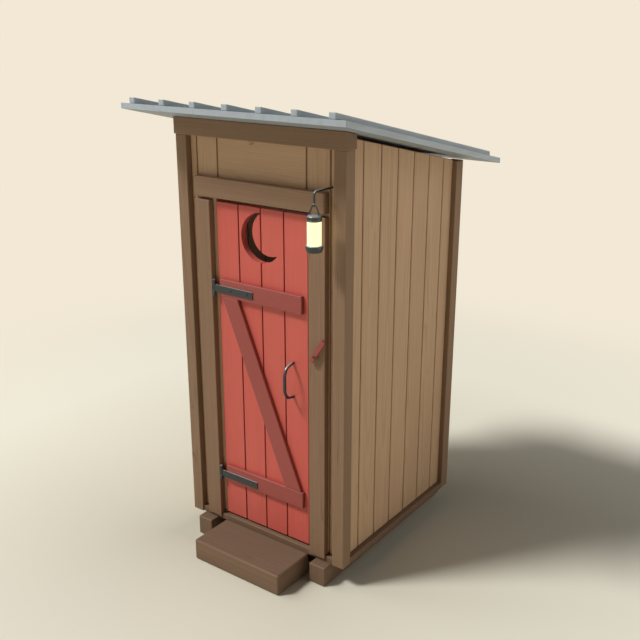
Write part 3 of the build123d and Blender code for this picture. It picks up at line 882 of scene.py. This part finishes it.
BACK_BOARDS = 6
low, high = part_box("back_wall")
back_edges = [low.x + index * (high.x - low.x) / BACK_BOARDS for index in range(BACK_BOARDS + 1)]
fit(board_up(low, high, X, Y, back_edges, "back_boards"), *WALL_BOARDS, "back_wall")

# %% [markdown]
# ## The front wall
# Beside the doorway stand a narrow board and a wide one on each side. The wide one is notched: above the
# doorway it runs on inwards to meet one broad panel, and below it stops at the opening. The notch is made
# by cutting the face of its edge in two at the doorway's top and extruding the upper part.

# %% Board the front
NARROW_JOINT = 426 * MM  # from the middle of the wall
PANEL_JOINT = 284.5 * MM
door_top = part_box("front_wall_over_door")[0].z
left_low, left_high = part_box("front_wall_left")
outer, inner = abs(left_low.x), abs(left_high.x)
front_y, behind_y, wall_top = left_low.y, left_high.y, left_high.z
foot = floor_top + END_CLEAR
boards = []


def front_board(name, ends, bottom, top, set_back=0, **marks):
    """A board of the front wall between two places across it."""
    low, high = (min(ends), front_y + set_back, bottom), (max(ends), behind_y - set_back, top)
    boards.append(plane_board(name, low, high, **marks))


for side in (-1, 1):
    inwards = X * -side

    def notch(board, inwards=inwards):
        """Runs the board on inwards above the doorway."""
        saw(board, (0, 0, door_top), Z, keep_both=True)
        choose(board, "FACE", faces_to(inwards, lambda middle: middle.z > door_top))
        draw_out(inwards * (inner - PANEL_JOINT - GAP / 2))
        put_down()

    narrow_from, wide_to = NARROW_JOINT + GAP / 2, NARROW_JOINT - GAP / 2
    ends = (side * outer, side * narrow_from)
    front_board("narrow", ends, foot, wall_top, radius=EASE, joints=[(inwards, -narrow_from)])
    joints = [(X * side, wide_to), (inwards, -(PANEL_JOINT + GAP / 2))]
    front_board("wide", (side * inner, side * wide_to), foot, wall_top, radius=EASE, shape=notch, joints=joints)
    for joint, bottom in ((NARROW_JOINT, foot), (PANEL_JOINT, door_top)):
        ends = [side * joint + way * (GAP / 2 + LAP) for way in (-1, 1)]
        front_board("tongue", ends, bottom, wall_top, SOLE_SET_BACK, radius=1 * MM, sunk=True)
    ends = (side * outer, side * inner)
    front_board("sole", ends, floor_top, floor_top + SOLE_HIGH, SOLE_SET_BACK, along=X, face=Y, sunk=True)
edge = PANEL_JOINT - GAP / 2
front_board("panel", (-edge, edge), door_top, wall_top, along=X, radius=EASE, joints=((X, edge), (-X, edge)))
front_nodes = ("front_wall_left", "front_wall_right", "front_wall_over_door")
fit(nail_up("front_boards", boards), *WALL_BOARDS, *front_nodes)

# %% [markdown]
# ## Trim round the door
# Two jambs and a header frame the doorway. Each jamb has a short lip at its foot that laps over the edge
# of the floor and sheds the rain. The lip is drawn down out of the jamb: the end face is cut in two at
# the floor's front edge, and its front part is extruded.

# %% Fix the jambs and the header
TRIM = ("house", "trim_boards", trim_stain)
for side in ("left", "right"):
    low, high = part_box(f"jamb_{side}")

    def lip(board, low=low):
        """Draws the lip down over the floor's edge."""
        saw(board, (0, floor_low.y, 0), Y, keep_both=True)
        choose(board, "FACE", faces_to(-Z, lambda middle: middle.y < floor_low.y))
        draw_out(-Z * (floor_top - low.z))
        put_down()

    jamb_low = (low.x, low.y, floor_top)
    jamb = plane_board(f"jamb_board_{side}", jamb_low, high, radius=4 * MM, rounds=3, shape=lip)
    fit(jamb, *TRIM, f"jamb_{side}")


def round_corners(piece):
    """Rounds the header's upright corners in front."""
    round_off(piece, edges_along(Z, lambda end: end.y < floor_low.y), radius=12 * MM)


set_board("header_board", "header_trim", TRIM, X, radius=5 * MM, rounds=3, shape=round_corners)

# %% [markdown]
# ## The roof
# Under the sheet lie roof boards, painted grey below. The sheet is a shallow tray turned over them: a
# slab with rounded corners whose underside is inset and pushed up, so that its rims hang down as drip
# edges. Seven box ribs run up the slope and end just behind the front edge, in caps with rounded
# corners. Screws with wide washers hold the sheet down beside the ribs, where they never break the
# roof's outline; one is made and copied.

# %% Deck and sheet
RIM_WALL = 5 * MM
SHEET = 4 * MM
CLADDING = ("house", "roof_cladding", roof_coat)
roof_foot, roof_top = underside(roof_low.y), underside(roof_low.y) + ROOF_THICK
sheet = rough_out("roof_sheet", (roof_low.x, roof_low.y, roof_foot), (roof_high.x, roof_high.y, roof_top))
round_off(sheet, edges_along(Z), radius=5 * MM)
press(sheet, -Z, RIM_WALL, ROOF_THICK - SHEET)
let_down(sheet, roof_low.y)
mark_grain(ease(sheet, radius=2 * MM), DOWN_SLOPE, ROOF_NORMAL)
fit(sheet, *CLADDING, "roof_panel")

DECK_BOARDS = 10
DECK_CLEAR = 1 * MM
deck = []
run = roof_high.y - roof_low.y - 2 * RIM_WALL
for index in range(DECK_BOARDS):
    y_from = roof_low.y + RIM_WALL + index * run / DECK_BOARDS
    low = (roof_low.x + RIM_WALL, y_from + DECK_CLEAR, roof_foot + DECK_CLEAR)
    high = (roof_high.x - RIM_WALL, y_from + run / DECK_BOARDS - DECK_CLEAR, roof_top - SHEET)
    board = rough_out("deck_board", low, high)
    let_down(board, roof_low.y)
    deck.append(mark_grain(ease(board, EASE, rounds=2), X, ROOF_NORMAL))
fit(nail_up("roof_boards", deck), "house", "roof_cladding", grey_paint)

# %% Form the ribs
RIBS = 7
RIB_WIDE, RIB_HIGH = 39 * MM, 31 * MM
ribs_low, ribs_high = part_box("roof_ribs")
rib_step = (ribs_high.x - ribs_low.x - RIB_WIDE) / (RIBS - 1)


def copy_to(piece, shift):
    """A copy with its own mesh, moved."""
    twin = piece.copy()
    twin.data = piece.data.copy()
    twin.data.transform(Matrix.Translation(shift))
    scene.collection.objects.link(twin)
    return twin


low, high = (ribs_low.x, ribs_low.y, roof_top), (ribs_low.x + RIB_WIDE, ribs_high.y, roof_top + RIB_HIGH)
rib = rough_out("rib", low, high)
round_off(rib, edges_along(Z, lambda end: end.y < roof_low.y + SPARE), radius=5 * MM)
let_down(rib, roof_low.y)
ease(rib, radius=4.5 * MM)
ribs = [rib, *[copy_to(rib, X * rib_step * index) for index in range(1, RIBS)]]
for bar in ribs:
    mark_grain(bar, DOWN_SLOPE, ROOF_NORMAL)
fit(nail_up("rib_caps", ribs), *CLADDING, "roof_ribs")

# %% Drive the roof screws
SCREW_ROWS = 6
SCREW_ASIDE = 32 * MM  # from a rib's middle
FIRST_ROW, LAST_ROW = 120 * MM, 100 * MM  # from the roof's front edge and from the ribs' back ends
washer = turned_blank("washer", sides=16, radius=8 * MM, depth=1.5 * MM, at=(0, 0, 0.75 * MM))
press(washer, Z, rim=1.5 * MM, push=0.7 * MM)
head = turned_blank("head", sides=6, radius=4.8 * MM, depth=4 * MM, at=(0, 0, 4 * MM))
press(head, Z, rim=0.8 * MM, push=0.5 * MM)
screw = nail_up("screw", [washer, head])
screw.data.transform(Matrix.Rotation(-math.atan(slope), 4, "X"))
screws = []
row_step = (ribs_high.y - LAST_ROW - roof_low.y - FIRST_ROW) / (SCREW_ROWS - 1)
for row, index, way in itertools.product(range(SCREW_ROWS), range(RIBS), (-1, 1)):
    x = ribs_low.x + RIB_WIDE / 2 + index * rib_step + way * SCREW_ASIDE
    y = roof_low.y + FIRST_ROW + row * row_step
    if roof_low.x < x - SCREW_ASIDE / 2 and x + SCREW_ASIDE / 2 < roof_high.x:
        screws.append(copy_to(screw, Vector((x, y, underside(y) + ROOF_THICK))))
bpy.data.objects.remove(screw)
fit(nail_up("roof_screws", screws), *CLADDING)

# %% [markdown]
# ## The door
# Four upright boards with tongued joints make the leaf, and a crescent moon is cut right through the middle
# two to let in light and air. The moon is what is left of a disc when a second, smaller disc is taken
# from it; that solid is then taken from the boards. Two ledges across and a slanting brace between them
# keep the boards together. The brace is a straight length turned to its slant, with both ends sawn level.

# %% Cut the moon's shape
MOON_RADIUS, BITE_RADIUS = 130 * MM, 115 * MM
MOON_DROP, BITE_RIGHT, BITE_UP = 156 * MM, 60 * MM, 29 * MM
MOON_DEEP, BITE_DEEP = 90 * MM, 120 * MM
leaf_low, leaf_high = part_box("door_leaf")
moon_at = Vector((0, (leaf_low.y + leaf_high.y) / 2, leaf_high.z - MOON_DROP))
DISC_SIDES = 128
FACING = (math.pi / 2, 0, 0)  # turns a blank's axis from upright to front and back


def take_away(piece, other):
    """Cuts the other piece's shape out of this one."""
    pick_up(piece)
    cut = piece.modifiers.new("cut", "BOOLEAN")
    cut.operation, cut.solver, cut.object = "DIFFERENCE", "EXACT", other
    bpy.ops.object.modifier_apply(modifier=cut.name)
    bpy.ops.object.shade_smooth_by_angle(angle=math.radians(30))


moon = turned_blank("moon", DISC_SIDES, MOON_RADIUS, MOON_DEEP, moon_at, FACING)
bite = turned_blank("bite", DISC_SIDES, BITE_RADIUS, BITE_DEEP, moon_at + X * BITE_RIGHT + Z * BITE_UP, FACING)
take_away(moon, bite)
print("moon", [round(side / MM) for side in moon.dimensions], "mm")

# %% Board the door
DOOR_BOARDS = 4
DOOR_GAP = 7 * MM
DOOR_EASE = 3 * MM
STRIP_END = 4 * MM  # the tongues stop short of the leaf's ends
width = (leaf_high.x - leaf_low.x) / DOOR_BOARDS
door_boards = []
for index in range(DOOR_BOARDS):
    start = leaf_low.x + index * width + (DOOR_GAP / 2 if index else 0)
    end = leaf_low.x + (index + 1) * width - (DOOR_GAP / 2 if index < DOOR_BOARDS - 1 else 0)
    board = rough_out("door_board", (start, leaf_low.y, leaf_low.z), (end, leaf_high.y, leaf_high.z))
    ease(board, DOOR_EASE, rounds=2)
    joints = [(-X, -start)] * (index > 0) + [(X, end)] * (index < DOOR_BOARDS - 1)
    if index in (1, 2):
        take_away(board, moon)
    door_boards.append(mark_grain(board, joints=joints))
for index in range(1, DOOR_BOARDS):
    x, reach = leaf_low.x + index * width, DOOR_GAP / 2 + LAP
    low = (x - reach, leaf_low.y + SOLE_SET_BACK, leaf_low.z + STRIP_END)
    strip = rough_out("tongue", low, (x + reach, leaf_high.y - SOLE_SET_BACK, leaf_high.z - STRIP_END))
    take_away(strip, moon)
    door_boards.append(mark_grain(strip, sunk=True))
for tool in (moon, bite):
    bpy.data.objects.remove(tool)
fit(nail_up("door_boards", door_boards), "door", "red_door_paint", door_paint, "door_leaf")

# %% Ledges and brace
LEDGE_PAINT = ("red_ledge_paint", ledge_paint)
for level in ("upper", "lower"):
    where = ("door", *LEDGE_PAINT)
    set_board(f"ledge_board_{level}", f"door_ledge_{level}", where, X, radius=4 * MM, rounds=3)

BRACE_WIDE = 100 * MM
BRACE_INSET = 65.5 * MM  # of its middle line from the ledges' ends
ledge_low, ledge_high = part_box("door_ledge_upper")
half_run = ledge_high.x - BRACE_INSET
top_z, bottom_z = ledge_low.z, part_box("door_ledge_lower")[1].z
slant = math.atan2(2 * half_run, top_z - bottom_z)
brace_length = math.hypot(2 * half_run, top_z - bottom_z) + 4 * SPARE
middle = Vector((0, (ledge_low.y + ledge_high.y) / 2, (top_z + bottom_z) / 2))
half = Vector((BRACE_WIDE, ledge_high.y - ledge_low.y, brace_length)) / 2
brace = rough_out("brace_board", middle - half, middle + half, (0, -slant, 0))
saw(brace, (0, 0, top_z), Z)
saw(brace, (0, 0, bottom_z), -Z)
mark_grain(ease(brace, radius=4 * MM), Vector((-math.sin(slant), 0, math.cos(slant))), Y)
fit(brace, "door", *LEDGE_PAINT, "door_brace")
print("brace slant in degrees:", round(math.degrees(slant), 1))

# %% [markdown]
# ## Hinges, latch and pins
# These small pieces have measured shapes with exact clearances, so each starts as a copy of its measured
# mesh. Such a mesh is loose triangles: the copy is merged by distance, its flat triangles are joined, and
# its edges are eased by about a millimetre, as a file leaves them. A strap gets a flat bevel along its
# edges, hammered on the anvil, which catches the key.

# %% Forge the hinges and the latch
IRON = ("black_iron", black_iron)
WELD = 0.01 * MM  # points nearer than this become one


def dress(name, node, radius, rounds=2):
    """A cleaned and eased copy of a measured part."""
    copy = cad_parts[node].copy()
    copy.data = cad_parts[node].data.copy()
    for key in list(copy.keys()):
        del copy[key]
    copy.parent = None
    copy.name = copy.data.name = name
    scene.collection.objects.link(copy)
    choose(copy, "VERT")
    bpy.ops.mesh.remove_doubles(threshold=WELD)
    bpy.ops.mesh.dissolve_limited(angle_limit=math.radians(1))
    put_down()
    return ease(copy, radius, rounds)


for level in ("upper", "lower"):
    for name, node, body, radius, rounds in (
        ("strap", "hinge_strap", "door", 2.6 * MM, 1),
        ("hinge_plate", "hinge_leaf", "house", 0.5 * MM, 2),
        ("pin", "hinge_pin", "house", 0.6 * MM, 2),
    ):
        iron = dress(f"{name}_{level}", f"{node}_{level}", radius, rounds)
        fit(iron, body, *IRON, f"{node}_{level}")

LATCH_TILT = math.radians(32)
button = dress("turn_button", "latch_bar", radius=1.5 * MM)
mark_grain(button, Vector((math.sin(LATCH_TILT), 0, math.cos(LATCH_TILT))), Y)
fit(button, "latch", *LEDGE_PAINT, "latch_bar")
fit(dress("latch_bolt", "latch_pin", radius=0.8 * MM), "house", *IRON, "latch_pin")

# %% [markdown]
# ## The pull handle
# A smith bends a round bar round the horn of the anvil: straight runs joined by true arcs. The tool here
# does the same. A filled circle is extruded along each run, and at each corner its end face is spun round
# the bend's centre. The spin keeps the section round through the bend, which a chain of joints would not.
# The handle has two short legs and a bowed grip, and its feet are filed flush with the door.

# %% Bend the handle
def bend_rod(name, radius, route, bend, sides=20, steps=6, tip=1):
    """A round bar along a route of points, each corner an arc; tip is how much its far end narrows."""
    route = [Vector(point) for point in route]
    ahead = (route[1] - route[0]).normalized()
    here = route[0]
    rod = start_from(
        bpy.ops.mesh.primitive_circle_add, name, vertices=sides, radius=radius, fill_type="NGON",
        location=here, rotation=ahead.to_track_quat("Z", "Y").to_euler(),
    )
    choose(rod, "FACE")
    for corner, after in zip(route[1:-1], route[2:]):
        out = (after - corner).normalized()
        setback = bend * math.tan(ahead.angle(out) / 2)
        tangent = corner - ahead * setback
        draw_out(tangent - here)
        axis = ahead.cross(out).normalized()
        centre = tangent + axis.cross(ahead) * bend
        # With no window the spin runs the other way round.
        bpy.ops.mesh.spin(steps=steps, angle=-ahead.angle(out), center=centre, axis=axis)
        here, ahead = corner + out * setback, out
    draw_out(route[-1] - here)
    bpy.ops.transform.resize(value=(tip, tip, tip), center_override=route[-1])
    bpy.ops.mesh.select_all(action="SELECT")
    bpy.ops.mesh.remove_doubles(threshold=WELD)
    bpy.ops.mesh.normals_make_consistent(inside=False)
    put_down()
    pick_up(rod)
    bpy.ops.object.shade_smooth_by_angle(angle=math.radians(40))
    return rod


HANDLE_RADIUS, HANDLE_BEND = 8 * MM, 35 * MM
LEG_REACH, LEG_LEAN, GRIP_INSET = 57 * MM, 12 * MM, 52 * MM
FOOT_HIGH, FOOT_LOW = 1209 * MM, 1019 * MM  # middles of the feet
PAST = 8 * MM  # how far the feet run into the leaf before they are filed flush
low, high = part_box("door_handle")
handle_x = (low.x + high.x) / 2
half_route = [
    (leaf_low.y + PAST, FOOT_HIGH + LEG_LEAN * PAST / LEG_REACH),
    (leaf_low.y - LEG_REACH, FOOT_HIGH - LEG_LEAN),
    (low.y + HANDLE_RADIUS, FOOT_HIGH - GRIP_INSET),
]
route = half_route + [(y, FOOT_HIGH + FOOT_LOW - z) for y, z in reversed(half_route)]
handle = bend_rod("pull_handle", HANDLE_RADIUS, [(handle_x, y, z) for y, z in route], HANDLE_BEND)
saw(handle, (0, leaf_low.y, 0), Y)
fit(handle, "door", *IRON, "door_handle")

# %% [markdown]
# ## The lantern
# A bent rod out of the wall ends in an eye, forged from its flattened tip. A wire bail hangs in the eye
# and stands in two small seats on the cap. Cap and base are spun from sheet iron, so they are round, with
# a rolled rim. Between them stands a plain cylinder of opal glass: a tube without ends that the Solidify
# modifier gives its thickness. The whole lantern swings on the eye, so the bail and all below it ride
# on the lantern, and the bracket stays with the house.

# %% Forge the bracket and the bail
BRACKET_RADIUS, BRACKET_BEND = 6 * MM, 16 * MM
EYE_RADIUS, HOLE_RADIUS, EYE_HALF_WIDE = 8 * MM, 4.2 * MM, 4 * MM
TIP_SHARE = 1.15  # the rod ends this many hole radii above the eye's middle
low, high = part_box("lantern_bracket")
eye = Vector(((low.x + high.x) / 2, low.y + EYE_RADIUS, low.z + EYE_RADIUS))
rod_z = high.z - BRACKET_RADIUS
route = [(eye.x, high.y, rod_z), (eye.x, eye.y, rod_z), eye + Z * HOLE_RADIUS * TIP_SHARE]
rod = bend_rod("rod", BRACKET_RADIUS, route, BRACKET_BEND, tip=0.85)
wire = (EYE_RADIUS - HOLE_RADIUS) / 2
ring = start_from(
    bpy.ops.mesh.primitive_torus_add, "ring", location=eye, rotation=(0, math.pi / 2, 0),
    major_segments=24, minor_segments=12, major_radius=EYE_RADIUS - wire, minor_radius=wire,
)
choose(ring, "VERT")
bpy.ops.transform.resize(value=(EYE_HALF_WIDE / wire, 1, 1), center_override=eye)
put_down()
pick_up(ring)
bpy.ops.object.shade_smooth()
fit(nail_up("lantern_rod", [rod, ring]), "house", *IRON, "lantern_bracket")

BAIL_RADIUS, BAIL_BEND, BAIL_TOP_HALF, BAIL_FOOT_HIGH = 3.6 * MM, 5 * MM, 8 * MM, 12 * MM
low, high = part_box("lantern_bail")
foot_x = (high.x - low.x) / 2
half_route = [(-foot_x, low.z), (-foot_x, low.z + BAIL_FOOT_HIGH), (-BAIL_TOP_HALF, eye.z)]
route = half_route + [(-across, z) for across, z in reversed(half_route)]
route = [(eye.x + across, eye.y, z) for across, z in route]
bail = bend_rod("wire_bail", BAIL_RADIUS, route, BAIL_BEND, sides=14, steps=5)
fit(bail, "lantern", *IRON, "lantern_bail")

# %% Spin the cap and the base
SPUN_SIDES = 56


def spun_blank(name, node):
    """A round blank that fills a measured part's box."""
    low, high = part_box(node)
    size = high - low
    return turned_blank(name, SPUN_SIDES, size.x / 2, size.z, (low + high) / 2)


def turn_down(piece, test, radius_share):
    """Draws the chosen points in towards the lantern's axis."""
    choose(piece, "VERT", lambda point: test(point.co.z))
    bpy.ops.transform.resize(value=(radius_share, radius_share, 1), center_override=(eye.x, eye.y, 0))
    put_down()


CAP_SHOULDER, CAP_RIM, CAP_STEP, CAP_DRAW = 10 * MM, 5 * MM, 1 * MM, 0.98
low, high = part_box("lantern_cap")
cap = spun_blank("spun_cap", "lantern_cap")
for height in (low.z + CAP_RIM, low.z + CAP_RIM + CAP_STEP):
    saw(cap, (0, 0, height), Z, keep_both=True)
turn_down(cap, lambda z: z > low.z + CAP_RIM + CAP_STEP / 2, CAP_DRAW)
round_off(cap, edges_at(high.z), CAP_SHOULDER, rounds=6)
press(cap, -Z, rim=3 * MM, push=1.5 * MM)
ease(cap, radius=0.8 * MM, rounds=2)
seats = []
for side in (-1, 1):
    seat_at = (eye.x + side * foot_x, eye.y, high.z)
    seat = turned_blank("seat", sides=20, radius=5 * MM, depth=6 * MM, at=seat_at)
    seats.append(ease(seat, radius=1.2 * MM, rounds=2))
fit(nail_up("lantern_cap_iron", [cap, *seats]), "lantern", *IRON, "lantern_cap")

BASE_TAPER, BASE_FOOT_SHARE, BASE_RIM = 18 * MM, 35 / 42.5, 4 * MM
low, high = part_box("lantern_base")
base = spun_blank("spun_base", "lantern_base")
saw(base, (0, 0, low.z + BASE_TAPER), Z, keep_both=True)
turn_down(base, lambda z: z < low.z + SLACK, BASE_FOOT_SHARE)
round_off(base, edges_at(high.z), BASE_RIM, rounds=4)
press(base, -Z, rim=5 * MM, push=3 * MM)
fit(ease(base, radius=1.5 * MM, rounds=2), "lantern", *IRON, "lantern_base")

# %% Blow the glass
GLASS_WALL = 3 * MM
glass = spun_blank("opal_globe", "lantern_globe")
choose(glass, "FACE", lambda face: abs(face.normal.z) > FACES_IT)
bpy.ops.mesh.delete(type="ONLY_FACE")
put_down()
wall = glass.modifiers.new("wall", "SOLIDIFY")
wall.thickness, wall.offset, wall.use_even_offset = GLASS_WALL, -1, True
bpy.ops.object.modifier_apply(modifier=wall.name)
fit(ease(glass, radius=0.8 * MM, rounds=2), "lantern", "lantern_glass", lantern_glass, "lantern_globe")

# %% [markdown]
# ## Screws in the ironwork
# Two screws with round slotted heads hold each strap to its ledge. A head is a flat cylinder whose rim
# is rounded and whose slot is a bar taken out of it. One is made, at the size of a number 10 screw, and
# the rest are copies, each turned a little differently, as a hand leaves them.

# %% Drive the screws
HEAD_RADIUS, HEAD_HIGH = 4.5 * MM, 2 * MM
SLOT_DEEP, SLOT_HALF = 0.7 * MM, 0.5 * MM
SCREW_PLACES = (0.45, 0.86)  # along the strap's flat part
SCREW_TURN = 0.7  # radians from one screw to the next
head = turned_blank("head", DISC_SIDES, HEAD_RADIUS, HEAD_HIGH, Vector(), FACING)
slot_low = (-HEAD_RADIUS, -HEAD_HIGH, -SLOT_HALF)
slot = rough_out("slot", slot_low, (HEAD_RADIUS, SLOT_DEEP - HEAD_HIGH / 2, SLOT_HALF))
take_away(head, slot)
bpy.data.objects.remove(slot)
ease(head, radius=0.4 * MM, rounds=1)
for level in ("upper", "lower"):
    low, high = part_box(f"hinge_strap_{level}")
    heads = []
    for index, share in enumerate(SCREW_PLACES):
        at = Vector((low.x + share * (high.x - low.x), low.y, (low.z + high.z) / 2))
        turned = copy_to(head, Vector())
        turned.data.transform(Matrix.Translation(at) @ Matrix.Rotation(SCREW_TURN * index + low.z, 4, "Y"))
        heads.append(turned)
    fit(nail_up(f"strap_screws_{level}", heads), "door", *IRON)
bpy.data.objects.remove(head)
